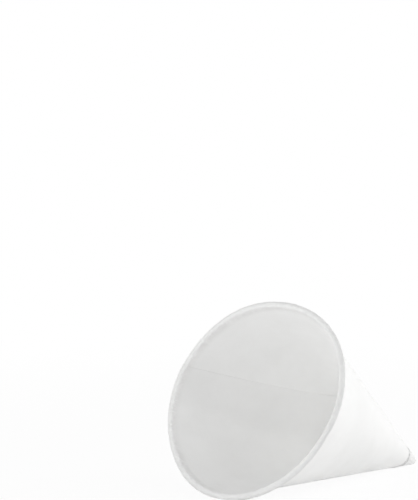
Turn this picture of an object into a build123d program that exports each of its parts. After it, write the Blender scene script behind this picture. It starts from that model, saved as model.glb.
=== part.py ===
from build123d import *
from math import acos, asin, atan2, cos, degrees, hypot, radians, sin, sqrt
import os

# A cone paper cup, wound from one sheet of paper, with a rolled rim. It lies on its side.
# Lengths are in millimetres and angles in degrees.
# A turn is the way a place on the wall faces round the cup's axis, counted from straight down, so
# that the ground is at a turn of 0 and the lap is on the side, between about 247 and 272.
# The paper doesn't stretch, so a cup that is pressed oval is made of pieces of upright cones, one
# for each quarter. Their axes meet in the middle of the round tip and lean a little apart.

# The cone
rim_diameter = 70.0        # outside, over the rolled rim, before the mouth is pressed oval
cup_height = 96.0          # from the end of the tip to the top of the rim
ply = 0.2                  # thickness of the paper
nose_radius = 1.7          # rounded outer end of the tip
nose_cover = 0.02          # how far the rounded end stands over the wall
plug_height = 4.0          # how far the tip is wound solid above the middle of its round end
press_lean = 4.1           # how far the axis of each quarter leans
press_turn = 119.0         # where the long way of the mouth points

# The rolled rim, in short straight steps that stay within 0.05 mm of round
roll_radius = 1.05         # where the roll begins, to the middle of the paper
roll_pitch = 0.5           # how much tighter the roll is one turn later
roll_step_angle = 31.0
roll_steps = 12

# The lap, where the sheet covers its own start: each cut edge is given by the turn where it
# meets the rim, the slant distance from the tip and the turn where it comes nearest the tip,
# and the turn where its plane meets the rim again
start_edge = (247.5, 43.5, 195.0, 136.5)  # inner cut edge
side_edge = (200.0, 9.0, 120.0, 36.0)     # cut edge from the inner one's corner down to the tip
end_edge = (271.5, 8.5, 362.5, 449.5)     # outer cut edge
lap_lean = 0.26            # how far the two plies lean to the outer edge's side
rest_flat = 0.18           # depth of the small flat spots on which the cup rests

# The wall and the roll touch in the section of a quarter, and the roll's middle stands beside it
wall_offset = nose_radius - ply
roll_offset = wall_offset + roll_radius
roll_across = rim_diameter / 2 - (roll_radius - roll_pitch / 2 + ply / 2)
roll_height = cup_height - (roll_radius - roll_pitch / 4 + ply / 2) - nose_radius
roll_reach = hypot(roll_across, roll_height)
half_angle = degrees(atan2(roll_across, roll_height) - asin(roll_offset / roll_reach))
wall_length = sqrt(roll_reach**2 - roll_offset**2)
nose_centre = Vector(0, 0, nose_radius)


def facing(turn):
    """The level direction in which a place on the wall faces."""
    return Vector(cos(radians(turn)), sin(radians(turn)), 0)


def square_to(axis, direction):
    """The part of a direction that is square to an axis, made one long."""
    return (direction - axis * axis.dot(direction)).normalized()


def quarter_axis(quarter):
    """The axis of a quarter: it leans to the ends of the long way, and away from the other sides."""
    lean = facing(press_turn + 90 * quarter) * sin(radians(press_lean))
    return lean * (-1) ** quarter + Vector(0, 0, cos(radians(press_lean)))


def quarter_slope(quarter):
    """The angle between the wall and the axis of a quarter."""
    apart = degrees(acos(quarter_axis(0).dot(quarter_axis(1))))
    return half_angle - (-1) ** quarter * apart / 2


def joint_direction(quarter, other):
    """Where the joint to the next or last quarter lies, seen from a quarter's axis."""
    apart = quarter_axis(quarter) - quarter_axis(other)
    return square_to(quarter_axis(quarter), apart * (-1) ** quarter)


def section_point(slope, distance, offset):
    """A place in a section: its distance along the wall from the tip, and how far outward it lies."""
    return Vector(
        distance * sin(radians(slope)) + offset * cos(radians(slope)),
        distance * cos(radians(slope)) - offset * sin(radians(slope)),
    )


def roll_points(slope, offset):
    """The corners of one face of the roll, beside the middle of the paper."""
    points = []
    for step in range(roll_steps + 1):
        angle = roll_step_angle * step
        reach = roll_radius - roll_pitch * angle / 360 + offset
        place = wall_length + reach * sin(radians(angle))
        points.append(section_point(slope, place, roll_offset - reach * cos(radians(angle))))
    return points


def wall_section(slope, plies):
    """The section of the wall with its rolled rim, as thick as the plies together."""
    half = plies * ply / 2
    with BuildLine() as outline:
        inner_face = Polyline(section_point(slope, 0, wall_offset - half), *roll_points(slope, half))
        outer_face = Polyline(section_point(slope, 0, wall_offset + half), *roll_points(slope, -half))
        Line(inner_face @ 0, outer_face @ 0)
        Line(inner_face @ 1, outer_face @ 1)
    return outline.line


def wall_point(distance, turn):
    """A point in the middle of the wall."""
    quarter = round((turn - press_turn) / 90)
    axis = quarter_axis(quarter)
    place = section_point(quarter_slope(quarter), distance, wall_offset)
    return nose_centre + square_to(axis, facing(turn)) * place.X + axis * place.Y


def edge_plane(rim_turn, reach, near_turn, far_turn):
    """The plane of a straight cut edge, from the rim past the tip's side and back to the rim."""
    near_rim = wall_point(wall_length, rim_turn)
    across = wall_point(wall_length, far_turn) - near_rim
    tipward = (wall_point(reach, near_turn) - near_rim).cross(across)
    if tipward.dot(nose_centre - near_rim) < 0:
        tipward = -tipward
    return Plane(origin=near_rim, x_dir=across, z_dir=tipward)


# The space of the lap, between the cut edges, with the tip inside it
with BuildPart() as lap_space:
    Box(2 * rim_diameter, 2 * rim_diameter, 2.5 * cup_height)
    for edge in (start_edge, side_edge, end_edge):
        split(bisect_by=edge_plane(*edge), keep=Keep.TOP)

# The whole wall in one ply and in two, each wound from its four quarters
walls = []
for plies in (1, 2):
    with BuildPart() as wall:
        for quarter in range(4):
            axis = quarter_axis(quarter)
            first = joint_direction(quarter, quarter - 1)
            span = first.get_angle(joint_direction(quarter, quarter + 1))
            with BuildSketch(Plane(nose_centre, x_dir=first, z_dir=first.cross(axis))):
                make_face(wall_section(quarter_slope(quarter), plies).edges())
            revolve(axis=Axis(nose_centre, axis), revolution_arc=span)
    walls.append(wall.part)
one_ply, two_plies = walls

# The tip is wound solid, with a rounded end that just covers the cut ends of the wall
with BuildPart() as tip:
    with BuildSketch(Plane(nose_centre, x_dir=(1, 0, 0), z_dir=(0, -1, 0))):
        with BuildLine():
            side = Line(
                section_point(half_angle, 0, nose_radius + nose_cover),
                section_point(half_angle, plug_height, wall_offset),
            )
            RadiusArc(side @ 0, (0, -nose_radius - nose_cover), nose_radius + nose_cover)
            Polyline((0, -nose_radius - nose_cover), (0, (side @ 1).Y), side @ 1)
        make_face()
    revolve(axis=Axis(nose_centre, (0, 0, 1)))

# The lap leans so that its outer face runs on from the one-ply wall at the inner cut edge,
# and its inner face does so at the outer one
lean_axis = Axis(nose_centre, facing((start_edge[0] + end_edge[0]) / 2 + 180))
leaning_lap = two_plies.rotate(lean_axis, lap_lean)
with BuildPart() as wound_cup:
    add(leaning_lap)
    add(lap_space.part, mode=Mode.INTERSECT)
    add(one_ply - lap_space.part)
    add(tip.part)

# The cup lies down until its rim and its tip touch the ground, in the quarter that faces it
under = round((360 - press_turn) / 90)
under_axis = quarter_axis(under)
lying_angle = max(
    atan2(corner.X, corner.Y) - asin(nose_radius / corner.length)
    for corner in roll_points(quarter_slope(under), ply / 2)
)
down = square_to(under_axis, facing(0)) * cos(lying_angle) - under_axis * sin(lying_angle)
foot = nose_centre + down * (nose_radius - rest_flat)
ground = Plane(foot, x_dir=square_to(down, Vector(0, 0, 1)), z_dir=-down)
with BuildPart() as lying_cup:
    with Locations(ground.location.inverse()):
        add(wound_cup.part)
    split(bisect_by=Plane.XY, keep=Keep.TOP)

# The finished cup stands with the middle of its foot box at the origin
reach = lying_cup.part.bounding_box()
with BuildPart() as cup:
    with Locations((-reach.center().X, -reach.center().Y, 0)):
        add(lying_cup.part)
cup.part.label = "cup"

os.makedirs("parts", exist_ok=True)
export_step(cup.part, "parts/cup.step")
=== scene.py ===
"""A cone paper cup lying on its side on a white table."""
import math

import bpy
from mathutils import Matrix, Vector


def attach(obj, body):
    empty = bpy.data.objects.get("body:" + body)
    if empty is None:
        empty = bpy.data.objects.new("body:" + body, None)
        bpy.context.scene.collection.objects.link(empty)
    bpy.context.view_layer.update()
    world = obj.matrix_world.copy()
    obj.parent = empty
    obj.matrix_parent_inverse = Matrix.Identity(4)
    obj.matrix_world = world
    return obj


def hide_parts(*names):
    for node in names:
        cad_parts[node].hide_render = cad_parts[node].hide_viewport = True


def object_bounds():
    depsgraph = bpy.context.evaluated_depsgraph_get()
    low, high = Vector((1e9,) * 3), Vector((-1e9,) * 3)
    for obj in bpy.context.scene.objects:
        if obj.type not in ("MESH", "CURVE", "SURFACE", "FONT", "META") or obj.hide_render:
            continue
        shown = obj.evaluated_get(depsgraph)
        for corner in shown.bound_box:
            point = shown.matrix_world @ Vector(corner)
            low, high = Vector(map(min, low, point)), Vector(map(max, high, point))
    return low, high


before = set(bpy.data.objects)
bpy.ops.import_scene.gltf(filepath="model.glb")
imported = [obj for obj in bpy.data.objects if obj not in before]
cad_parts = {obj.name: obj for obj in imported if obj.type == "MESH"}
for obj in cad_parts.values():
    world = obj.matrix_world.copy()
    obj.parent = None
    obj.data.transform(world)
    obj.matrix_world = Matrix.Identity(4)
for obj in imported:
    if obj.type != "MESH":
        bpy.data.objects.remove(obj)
cad_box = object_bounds()

# Sizes of the cup, in metres and degrees. A turn is the way a place on the wall faces round the
# cup's axis, counted from straight down.
MM = 0.001
RIM_DIAMETER = 70.0 * MM
CUP_HEIGHT = 96.0 * MM
PLY = 0.2 * MM
NOSE_RADIUS = 1.7 * MM
PLUG_HEIGHT = 4.0 * MM
PRESS_LEAN = 4.1
PRESS_TURN = 119.0
ROLL_RADIUS = 1.05 * MM
ROLL_PITCH = 0.5 * MM
ROLL_ANGLE = 378.0
ROLL_FOOT_ANGLE = 170.0  # where along the roll it touches the table
REST_FLAT = 0.18 * MM  # how far the cup sinks in, as it does on the CAD model's flats
TABLE_GAP = 0.02 * MM  # how far everything stays above the table
SHEET_THICKNESS = PLY * 0.9  # a little less than a ply, so that the plies stay apart

# The places, from the tip, where the outer cut edge comes free and where it is held down again
EDGE_FREE = (8.9 * MM, 9.6 * MM)
EDGE_HELD = (85.0 * MM, 97.0 * MM)

# The wall and the roll touch in the section of a quarter, and the roll's middle stands beside it
WALL_OFFSET = NOSE_RADIUS - PLY
ROLL_OFFSET = WALL_OFFSET + ROLL_RADIUS
ROLL_ACROSS = RIM_DIAMETER / 2 - (ROLL_RADIUS - ROLL_PITCH / 2 + PLY / 2)
ROLL_HEIGHT = CUP_HEIGHT - (ROLL_RADIUS - ROLL_PITCH / 4 + PLY / 2) - NOSE_RADIUS
ROLL_REACH = math.hypot(ROLL_ACROSS, ROLL_HEIGHT)
HALF_ANGLE = math.degrees(math.atan2(ROLL_ACROSS, ROLL_HEIGHT) - math.asin(ROLL_OFFSET / ROLL_REACH))
WAVE_ROOM = 0.056 * MM  # the wall is this much shorter, so that the waves of the rim stay in its box
WALL_LENGTH = math.sqrt(ROLL_REACH**2 - ROLL_OFFSET**2) - WAVE_ROOM

# The sheet's grid: columns round the cup, and rows from the tip to the end of the roll
COLUMNS = 450
ROWS = 108
WALL_ROWS = 0.64  # share of the rows that lie on the wall
ROW_CROWDING = 1.8  # how much closer the rows lie towards the tip

# The solid tip's grid: steps up its round end, up the wall and in to the middle, and round it
NOSE_STEPS = 16
PLUG_STEPS = 8
TOP_STEPS = 6
TIP_SIDES = 96
TOP_DISH = 0.6 * MM  # how far the middle of its top lies below the top's edge

WHITE = (1.0, 1.0, 1.0, 1.0)
DIM_OVERHEAD = (0.74, 0.74, 0.74, 1.0)
PAPER_WHITE = (0.975, 0.975, 0.971, 1.0)
# Grey of the pulp's faint blotches, and also the painted shade on the roll
BLOTCH_AND_ROLL_SHADE_GREY = (0.86, 0.86, 0.855, 1.0)
LIGHT_THROUGH = 0.12  # share of the paper's finish that lets light through

# The photograph's height and its camera's focal length, both in pixels, where the camera stands,
# level from the middle of the tip's round end and up from the table, and the way that it looks:
# a level direction, and how far the view dips below it
PHOTO_HEIGHT = 500.0
FOCAL_LENGTH = 2012.45
SENSOR_HEIGHT = 36.0
CAMERA_PLACE = Vector((0.5890, 0.4295, 0.11708))
CAMERA_WAY = (-0.7446, -0.6675)
CAMERA_DIP = 3.10


class Field:
    """One output socket, for use in sums."""

    def __init__(self, nodes, socket):
        self.nodes = nodes
        self.socket = socket

    def __add__(self, other):
        return self.nodes.math("ADD", self, other)

    def __radd__(self, other):
        return self.nodes.math("ADD", other, self)

    def __sub__(self, other):
        return self.nodes.math("SUBTRACT", self, other)

    def __rsub__(self, other):
        return self.nodes.math("SUBTRACT", other, self)

    def __mul__(self, other):
        return self.nodes.math("MULTIPLY", self, other)

    def __rmul__(self, other):
        return self.nodes.math("MULTIPLY", other, self)

    def __truediv__(self, other):
        return self.nodes.math("DIVIDE", self, other)

    def __rtruediv__(self, other):
        return self.nodes.math("DIVIDE", other, self)


class Nodes:
    """Adds nodes to one tree."""

    def __init__(self, tree):
        self.tree = tree

    def add(self, kind, values=None, output=0, **settings):
        """One node of a type, with its settings and the values or links of its sockets."""
        node = self.tree.nodes.new(kind)
        for name, value in settings.items():
            setattr(node, name, value)
        for key, value in (values or {}).items():
            if isinstance(value, Field):
                self.tree.links.new(value.socket, node.inputs[key])
            else:
                node.inputs[key].default_value = value
        return Field(self, node.outputs[output]) if node.outputs else None

    def math(self, operation, *values):
        return self.add("ShaderNodeMath", dict(enumerate(values)), operation=operation)

    def sine(self, turn):
        return self.math("SINE", self.math("RADIANS", turn))

    def cosine(self, turn):
        return self.math("COSINE", self.math("RADIANS", turn))

    def fade(self, value, low, high):
        """Rises smoothly from 0 at the low value to 1 at the high one."""
        return self.add("ShaderNodeMapRange", {0: value, 1: low, 2: high}, interpolation_type="SMOOTHSTEP")

    def vector(self, x, y, z):
        return self.add("ShaderNodeCombineXYZ", {0: x, 1: y, 2: z})

    def vectors(self, operation, first, second, output=0):
        return self.add("ShaderNodeVectorMath", {0: first, 1: second}, output, operation=operation)

    def scaled(self, vector, scale):
        return self.add("ShaderNodeVectorMath", {0: vector, "Scale": scale}, operation="SCALE")

    def mixed(self, share, first, second):
        """A colour between two, by the share of the second."""
        # Inputs 6 and 7 and output 2 of this node are its colours
        return self.add("ShaderNodeMix", {"Factor": share, 6: first, 7: second}, 2, data_type="RGBA")

    def noise(self, place, scale, detail, roughness):
        values = {"Vector": place, "Scale": scale, "Detail": detail, "Roughness": roughness}
        return self.add("ShaderNodeTexNoise", values)


def shader_nodes(owner):
    """The emptied node tree of a material or a world."""
    owner.use_nodes = True
    owner.node_tree.nodes.clear()
    return Nodes(owner.node_tree)


def paper_finish():
    """White uncoated paper: cloudy pulp, painted shade on the roll, fine fibres and pleats on the roll, and
    light comes through.
    """
    material = bpy.data.materials.new("white_paper")
    nodes = shader_nodes(material)
    place = nodes.add("ShaderNodeTexCoord", output="Object")
    rim_place = nodes.add("ShaderNodeAttribute", output="Fac", attribute_name="rim_place")
    turn = nodes.add("ShaderNodeAttribute", output="Fac", attribute_name="wound_turn")
    near_rim = nodes.fade(rim_place, 50.0, 110.0)
    # Where the roll gets its painted shade
    roll_shade_mask = nodes.fade(rim_place, 120.0, 210.0)

    # The pulp is cloudy, with faint blotches, and the roll is painted darker than the wall: painted shade for
    # the dimmer light on the roll's front and left side
    cloud = nodes.noise(place, 190.0, 5.0, 0.6)
    patch = nodes.noise(place, 55.0, 2.0, 0.5)
    blotch_and_roll_shade = nodes.fade(cloud, 0.35, 0.75) * 0.2 + nodes.fade(patch, 0.42, 0.66) * 0.2 + roll_shade_mask * 0.8
    colour = nodes.mixed(blotch_and_roll_shade, PAPER_WHITE, BLOTCH_AND_ROLL_SHADE_GREY)

    # Fibres and shallow waves cover the sheet, and pleats run across the roll
    fibre = nodes.noise(place, 2600.0, 3.0, 0.7)
    grain = nodes.add("ShaderNodeBump", {"Strength": 0.35, "Distance": 0.04 * MM, "Height": fibre})
    waved = {"Strength": 0.5, "Distance": 0.2 * MM, "Height": cloud, "Normal": grain}
    waves = nodes.add("ShaderNodeBump", waved)
    pleat = nodes.noise(nodes.vector(turn * 0.5, rim_place * 0.008, 0.0), 1.0, 3.0, 0.55) * near_rim
    pleated = {"Strength": 1.0, "Distance": 0.7 * MM, "Height": pleat, "Normal": waves}
    surface = {"Base Color": colour, "Roughness": 0.78 + fibre * 0.14, "IOR": 1.45, "Specular IOR Level": 0.3}
    surface["Normal"] = nodes.add("ShaderNodeBump", pleated)
    shader = nodes.add("ShaderNodeBsdfPrincipled", surface)
    through = nodes.add("ShaderNodeBsdfTranslucent", {"Color": PAPER_WHITE})
    thin = nodes.add("ShaderNodeMixShader", {0: LIGHT_THROUGH, 1: shader, 2: through})
    nodes.add("ShaderNodeOutputMaterial", {"Surface": thin})
    return material


def facing(turn):
    """The level direction in which a place on the wall faces."""
    return Vector((math.cos(math.radians(turn)), math.sin(math.radians(turn)), 0.0))


def square_to(axis, direction):
    """The part of a direction that is square to an axis, made one long."""
    return (direction - axis * axis.dot(direction)).normalized()


def quarter_axis(quarter):
    """The axis of a quarter: it leans to the ends of the long way, and away from the other sides."""
    lean = facing(PRESS_TURN + 90 * quarter) * math.sin(math.radians(PRESS_LEAN))
    return lean * (-1) ** quarter + Vector((0, 0, math.cos(math.radians(PRESS_LEAN))))


SLOPE_CHANGE = math.degrees(quarter_axis(0).angle(quarter_axis(1))) / 2

# What the sheet's nodes take in: the cone, the roll, the two cut edges and small waves
SHEET_SIZES = {
    "Slant Length": WALL_LENGTH,
    "Half Angle": HALF_ANGLE,
    "Slope Change": SLOPE_CHANGE,
    "Axis Lean": PRESS_LEAN,
    "Long Way": PRESS_TURN,
    "Outer Offset": NOSE_RADIUS,
    "Roll Radius": ROLL_RADIUS,
    "Roll Pitch": ROLL_PITCH,
    "Roll Angle": ROLL_ANGLE,
    "Ply": PLY,
    "Start Rim Turn": 247.5,
    "Start Near Turn": 195.0,
    "Start Near Distance": 43.4 * MM,
    "Start Tip Turn": 60.0,
    "End Rim Turn": 271.5,
    "End Curl": 758.0 * MM,
    "End Curl Middle": 5.0 * MM,
    "End Near Distance": 8.0 * MM,
    "Rim Wave": 0.16 * MM,
    "Pleat Depth": 0.55 * MM,
    "Edge Lift": 0.05 * MM,
}


def start_turn(nodes, size, distance):
    """Where the sheet's inner cut edge lies at a distance from the tip."""
    near, rim = 1.0 / size["Start Near Distance"], 1.0 / size["Slant Length"]
    rim_cosine = nodes.cosine(size["Start Rim Turn"] - size["Start Near Turn"])
    here = near - 1.0 / nodes.math("MAXIMUM", distance, size["Start Near Distance"])
    cosine = nodes.math("MINIMUM", 1.0 - (1.0 - rim_cosine) * here / (near - rim), 0.985)
    swing = nodes.math("DEGREES", nodes.math("ARCCOSINE", cosine))
    tipward = 1.0 - nodes.math("MINIMUM", distance / size["Start Near Distance"], 1.0)
    to_tip = (size["Start Near Turn"] - size["Start Tip Turn"]) * nodes.math("POWER", tipward, 3.6)
    return size["Start Near Turn"] + swing - to_tip


def end_turn(nodes, size, distance):
    """Where the sheet's outer cut edge lies: it winds round the tip ever faster."""
    near = nodes.math("MAXIMUM", distance, size["End Near Distance"])
    curl = 1.0 / (near - size["End Curl Middle"]) - 1.0 / (size["Slant Length"] - size["End Curl Middle"])
    return size["End Rim Turn"] + size["End Curl"] * curl


def edge_lift(nodes, size, distance, turn, end):
    """How far the outer cut edge stands off the ply below, between the tip and the roll."""
    free = nodes.fade(distance, *EDGE_FREE) * (1.0 - nodes.fade(distance, *EDGE_HELD))
    return size["Edge Lift"] * nodes.fade(turn - end, 353.0, 360.0) * free


def rim_wave(nodes, size, turn):
    """The small unevenness of the rim."""
    slow = nodes.sine(turn * 3.0 + 40.0) * 0.6 + nodes.sine(turn * 5.0 + 155.0) * 0.35
    return size["Rim Wave"] * (slow + nodes.sine(turn * 9.0 + 20.0) * 0.18)


def rim_pleats(nodes, size, distance, rolled, turn):
    """Small pleats of the paper where it is bent over, deeper on some stretches of the rim."""
    across = nodes.noise(nodes.vector(turn * 0.3, rolled * 0.008, 0.0), 1.0, 1.0, 0.5) - 0.5
    stretch = nodes.fade(nodes.noise(nodes.vector(turn * 0.03, 0.0, 3.0), 1.0, 1.0, 0.5), 0.4, 0.6)
    near_rim = 1.0 - nodes.fade(size["Slant Length"] - distance, 0.0, 3.0 * MM)
    return size["Pleat Depth"] * across * (stretch * 0.8 + 0.2) * near_rim


def wound_sheet_tree(paper):
    """Winds a flat grid into the cup: one way along the sheet round the axis, the other from tip to roll."""
    tree = bpy.data.node_groups.new("wound_sheet", "GeometryNodeTree")
    for name in SHEET_SIZES:
        tree.interface.new_socket(name=name, in_out="INPUT", socket_type="NodeSocketFloat")
    tree.interface.new_socket(name="Geometry", in_out="OUTPUT", socket_type="NodeSocketGeometry")
    nodes = Nodes(tree)
    inputs = nodes.add("NodeGroupInput").socket.node
    size = {name: Field(nodes, inputs.outputs[name]) for name in SHEET_SIZES}

    counts = {"Size X": 1.0, "Size Y": 1.0, "Vertices X": COLUMNS, "Vertices Y": ROWS}
    grid = nodes.add("GeometryNodeMeshGrid", counts)
    flat = nodes.add("ShaderNodeSeparateXYZ", {0: nodes.add("GeometryNodeInputPosition")})
    along = flat + 0.5
    up = Field(nodes, flat.socket.node.outputs[1]) + 0.5
    wall_share = nodes.math("MINIMUM", up / WALL_ROWS, 1.0)
    distance = size["Slant Length"] * nodes.math("POWER", wall_share, ROW_CROWDING)
    rolled = size["Roll Angle"] * nodes.math("MAXIMUM", (up - WALL_ROWS) / (1.0 - WALL_ROWS), 0.0)
    start = start_turn(nodes, size, distance)
    end = end_turn(nodes, size, distance)
    turn = start + along * (end + 360.0 - start)

    # Which quarter this place is in, the lean of its axis, and the way it faces
    quarter = nodes.math("ROUND", (turn - size["Long Way"]) / 90.0)
    sign = 1.0 - nodes.math("FLOORED_MODULO", quarter, 2.0) * 2.0
    quarter_turn = size["Long Way"] + quarter * 90.0
    lean = nodes.sine(size["Axis Lean"]) * sign
    upright = nodes.cosine(size["Axis Lean"])
    axis = nodes.vector(lean * nodes.cosine(quarter_turn), lean * nodes.sine(quarter_turn), upright)
    slope = size["Half Angle"] - sign * size["Slope Change"]
    level = nodes.vector(nodes.cosine(turn), nodes.sine(turn), 0.0)
    beside = nodes.scaled(axis, nodes.vectors("DOT_PRODUCT", axis, level, "Value"))
    across_axis = nodes.vectors("SUBTRACT", level, beside)
    outward = nodes.add("ShaderNodeVectorMath", {0: across_axis}, operation="NORMALIZE")

    # The ply's place in the thickness: it winds evenly outward
    depth = size["Ply"] * ((end + 360.0 - turn) / 360.0 + 0.5)
    offset = size["Outer Offset"] - depth + edge_lift(nodes, size, distance, turn, end)
    share = distance / size["Slant Length"]
    middle = size["Outer Offset"] - size["Ply"]
    reach = size["Roll Radius"] - size["Roll Pitch"] * rolled / 360.0 + (middle - offset)
    reach = reach + rim_pleats(nodes, size, distance, rolled, turn)
    section_distance = distance + reach * nodes.sine(rolled)
    section_offset = middle + size["Roll Radius"] - reach * nodes.cosine(rolled)
    section_offset = section_offset + rim_wave(nodes, size, turn) * share * share
    across = section_distance * nodes.sine(slope) + section_offset * nodes.cosine(slope)
    height = section_distance * nodes.cosine(slope) - section_offset * nodes.sine(slope)
    point = nodes.vectors("ADD", nodes.scaled(outward, across), nodes.scaled(axis, height))

    # Marks that the paper's finish reads: the turn, and the place along the rim's strip, which is
    # 0 on most of the wall, 100 where the wall becomes the roll, and then grows with the roll
    below_roll = (size["Slant Length"] - distance) * (20.0 / MM)
    rim_place = nodes.math("MAXIMUM", rolled + 100.0 - below_roll, 0.0)
    for name, value in {"rim_place": rim_place, "wound_turn": turn}.items():
        grid = nodes.add("GeometryNodeStoreNamedAttribute", {"Geometry": grid, "Name": name, "Value": value})
    wound = nodes.add("GeometryNodeSetPosition", {"Geometry": grid, "Position": point})
    smooth = nodes.add("GeometryNodeSetShadeSmooth", {"Geometry": wound, "Shade Smooth": True})
    real = nodes.add("GeometryNodeRealizeInstances", {"Geometry": smooth})
    dressed = nodes.add("GeometryNodeSetMaterial", {"Geometry": real, "Material": paper})
    nodes.add("NodeGroupOutput", {"Geometry": dressed})
    return tree


def new_piece(name, data):
    """An object for the data, put into the scene."""
    piece = bpy.data.objects.new(name, data)
    bpy.context.collection.objects.link(piece)
    return piece


def wound_cup(paper):
    """The cup's one sheet of paper, wound, lapped and rolled over at the rim."""
    piece = new_piece("paper_cup", bpy.data.meshes.new("paper_cup"))
    wind = piece.modifiers.new("wound_sheet", "NODES")
    wind.node_group = wound_sheet_tree(paper)
    for item in wind.node_group.interface.items_tree:
        if item.in_out == "INPUT":
            wind[item.identifier] = SHEET_SIZES[item.name]
    thick = piece.modifiers.new("paper_thickness", "SOLIDIFY")
    thick.thickness = SHEET_THICKNESS
    thick.offset = 0.0
    bpy.context.view_layer.update()
    mesh = bpy.data.meshes.new_from_object(piece.evaluated_get(bpy.context.evaluated_depsgraph_get()))
    piece.modifiers.clear()
    piece.data = mesh
    mesh.set_sharp_from_angle(angle=math.radians(40))
    return piece


def tip_profile():
    """Half the section of the solid tip, from its end up: radius, height and share of folds."""
    points = []
    for step in range(NOSE_STEPS + 1):
        angle = math.radians(-90 + step * (90 - HALF_ANGLE) / NOSE_STEPS)
        fold = 1.0 - step / NOSE_STEPS
        points.append((NOSE_RADIUS * math.cos(angle), NOSE_RADIUS * math.sin(angle), fold))
    sine, cosine = math.sin(math.radians(HALF_ANGLE)), math.cos(math.radians(HALF_ANGLE))
    for step in range(1, PLUG_STEPS + 1):
        distance = PLUG_HEIGHT * step / PLUG_STEPS
        offset = NOSE_RADIUS + (WALL_OFFSET - PLY - NOSE_RADIUS) * step / PLUG_STEPS
        points.append((distance * sine + offset * cosine, distance * cosine - offset * sine, 0.0))
    top_radius, top_height = points[-1][:2]
    for step in range(1, TOP_STEPS + 1):
        height = top_height - TOP_DISH * step / TOP_STEPS
        points.append((top_radius * (1 - step / TOP_STEPS), height, 0.0))
    return points


def wound_tip(paper):
    """The tightly wound end of the tip: a rounded nose with small folds, solid up to the hollow."""
    profile = tip_profile()
    vertices, faces = [(0.0, 0.0, profile[0][1])], []
    for radius, height, fold in profile[1:-1]:
        for step in range(TIP_SIDES):
            angle = 2 * math.pi * step / TIP_SIDES
            folds = math.sin(5 * angle + 14 * fold) + 0.5 * math.sin(11 * angle + 8 * fold)
            creased = radius * (1 + 0.05 * fold * folds)
            vertices.append((creased * math.cos(angle), creased * math.sin(angle), height))
    vertices.append((0.0, 0.0, profile[-1][1]))
    top = len(vertices) - 1 - TIP_SIDES
    for step in range(TIP_SIDES):
        after = (step + 1) % TIP_SIDES
        faces.append((0, 1 + after, 1 + step))
        for low in range(1, top, TIP_SIDES):
            high = low + TIP_SIDES
            faces.append((low + step, low + after, high + after, high + step))
        faces.append((top + step, top + after, len(vertices) - 1))
    mesh = bpy.data.meshes.new("paper_tip")
    mesh.from_pydata(vertices, [], faces)
    mesh.shade_smooth()
    mesh.set_sharp_from_angle(angle=math.radians(50))
    mesh.materials.append(paper)
    return new_piece("paper_tip", mesh)


def lying_turn():
    """How the cup lies: on the outside of its roll and on its nose, in the quarter that faces down."""
    under = round((360 - PRESS_TURN) / 90)
    axis = quarter_axis(under)
    slope = math.radians(HALF_ANGLE - (-1) ** under * SLOPE_CHANGE)
    roll_outside = ROLL_RADIUS - ROLL_PITCH * ROLL_FOOT_ANGLE / 360 + PLY / 2
    across = WALL_LENGTH * math.sin(slope) + ROLL_OFFSET * math.cos(slope)
    along = WALL_LENGTH * math.cos(slope) - ROLL_OFFSET * math.sin(slope)
    angle = math.atan2(across, along) + math.asin((roll_outside - NOSE_RADIUS) / math.hypot(across, along))
    down = square_to(axis, facing(0)) * math.cos(angle) - axis * math.sin(angle)
    forward = square_to(down, Vector((0, 0, 1)))
    return Matrix((forward, (-down).cross(forward), -down)).to_4x4()


def laid_down(pieces):
    """Lays the pieces on the ground over the middle of the CAD model's foot, and says where the nose is."""
    for piece in pieces:
        piece.data.transform(Matrix.Translation((0, 0, NOSE_RADIUS - REST_FLAT)) @ lying_turn())
    corners = [vertex.co for piece in pieces for vertex in piece.data.vertices]
    middle = [(min(c[i] for c in corners) + max(c[i] for c in corners)) / 2 for i in (0, 1)]
    foot = [(cad_box[0][i] + cad_box[1][i]) / 2 for i in (0, 1)]
    shift = Vector((foot[0] - middle[0], foot[1] - middle[1], 0.0))
    for piece in pieces:
        for vertex in piece.data.vertices:
            vertex.co += shift
            vertex.co.z = max(vertex.co.z, TABLE_GAP)
    return shift


def table():
    """A white table that shows as plain white ground, with the cup's soft shadow on it."""
    far = 6.0
    corners = [(-far, -far, 0), (far, -far, 0), (far, far, 0), (-far, far, 0)]
    mesh = bpy.data.meshes.new("table")
    mesh.from_pydata(corners, [], [(0, 1, 2, 3)])
    material = bpy.data.materials.new("white_table")
    nodes = shader_nodes(material)
    place = nodes.add("ShaderNodeTexCoord", output="Object")
    away = nodes.fade(nodes.vectors("DISTANCE", place, (0.0, 0.0, 0.0), "Value"), 0.1, 0.5)
    matte = nodes.add("ShaderNodeBsdfDiffuse", {"Color": (0.95, 0.95, 0.95, 1.0)})
    white = nodes.add("ShaderNodeEmission", {"Color": WHITE, "Strength": 1.0})
    seen = nodes.add("ShaderNodeLightPath", output="Is Camera Ray")
    shader = nodes.add("ShaderNodeMixShader", {0: seen * (0.93 + away * 0.07), 1: matte, 2: white})
    nodes.add("ShaderNodeOutputMaterial", {"Surface": shader})
    mesh.materials.append(material)
    new_piece("table", mesh)


def broad_lamp(name, place, power):
    """A round lamp, a metre across, that points at the cup."""
    lamp = bpy.data.lights.new(name, "AREA")
    lamp.shape = "DISK"
    lamp.size = 1.0
    lamp.energy = power
    holder = new_piece(name, lamp)
    holder.location = place
    holder.rotation_euler = (Vector((0.0, 0.0, 0.03)) - holder.location).to_track_quat("-Z", "Y").to_euler()


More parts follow.
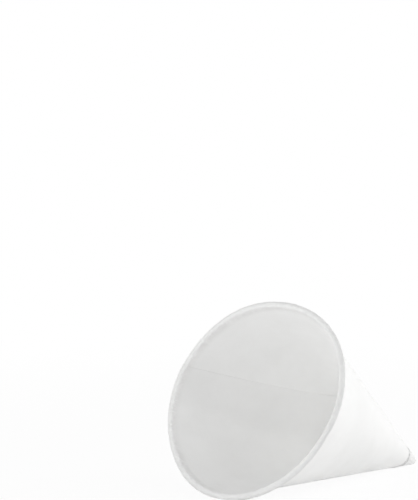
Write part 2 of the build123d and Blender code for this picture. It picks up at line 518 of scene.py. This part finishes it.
def soft_light():
    """A white room, dimmer overhead, with lamps behind, high at the side and low before the mouth."""
    world = bpy.data.worlds.new("white_room")
    bpy.context.scene.world = world
    nodes = shader_nodes(world)
    direction = nodes.add("ShaderNodeSeparateXYZ", {0: nodes.add("ShaderNodeTexCoord")}, 2)
    room_colour = nodes.mixed(nodes.fade(direction, 0.1, 0.9), WHITE, DIM_OVERHEAD)
    room = nodes.add("ShaderNodeBackground", {"Color": room_colour, "Strength": 0.655})
    white = nodes.add("ShaderNodeBackground", {"Color": WHITE, "Strength": 1.0})
    seen = nodes.add("ShaderNodeLightPath", output="Is Camera Ray")
    shown = nodes.add("ShaderNodeMixShader", {0: seen, 1: room, 2: white})
    nodes.add("ShaderNodeOutputWorld", {"Surface": shown})
    broad_lamp("back_lamp", (-0.9, 0.5, 0.35), 3.7)
    broad_lamp("side_lamp", (-0.3, 0.8, 0.6), 2.75)
    broad_lamp("mouth_lamp", (0.98, -0.195, 0.25), 4.7)
    # Light has to bounce many times inside the white hollow before it fades
    bpy.context.scene.cycles.diffuse_bounces = 16


def photo_view(shift):
    """The photograph's view: nearly level, from the mouth's side."""
    camera = bpy.data.cameras.new("photo_view")
    camera.sensor_fit = "VERTICAL"
    camera.sensor_height = SENSOR_HEIGHT
    camera.lens = FOCAL_LENGTH * SENSOR_HEIGHT / PHOTO_HEIGHT
    camera.clip_start = 0.05
    camera.clip_end = 30.0
    dip = math.radians(CAMERA_DIP)
    x, y = CAMERA_WAY
    ahead = Vector((x * math.cos(dip), y * math.cos(dip), -math.sin(dip))).normalized()
    right = Vector((y, -x, 0.0)).normalized()
    turn = Matrix((right, right.cross(ahead), -ahead)).transposed().to_4x4()
    holder = new_piece("photo_view", camera)
    holder.matrix_world = Matrix.Translation(CAMERA_PLACE + shift) @ turn
    bpy.context.scene.camera = holder


paper = paper_finish()
cup = wound_cup(paper)
tip = wound_tip(paper)
nose_shift = laid_down([cup, tip])
for piece in (cup, tip):
    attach(piece, "root")
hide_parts("cup")
table()
soft_light()
photo_view(nose_shift)
bpy.context.scene.view_settings.view_transform = "Standard"
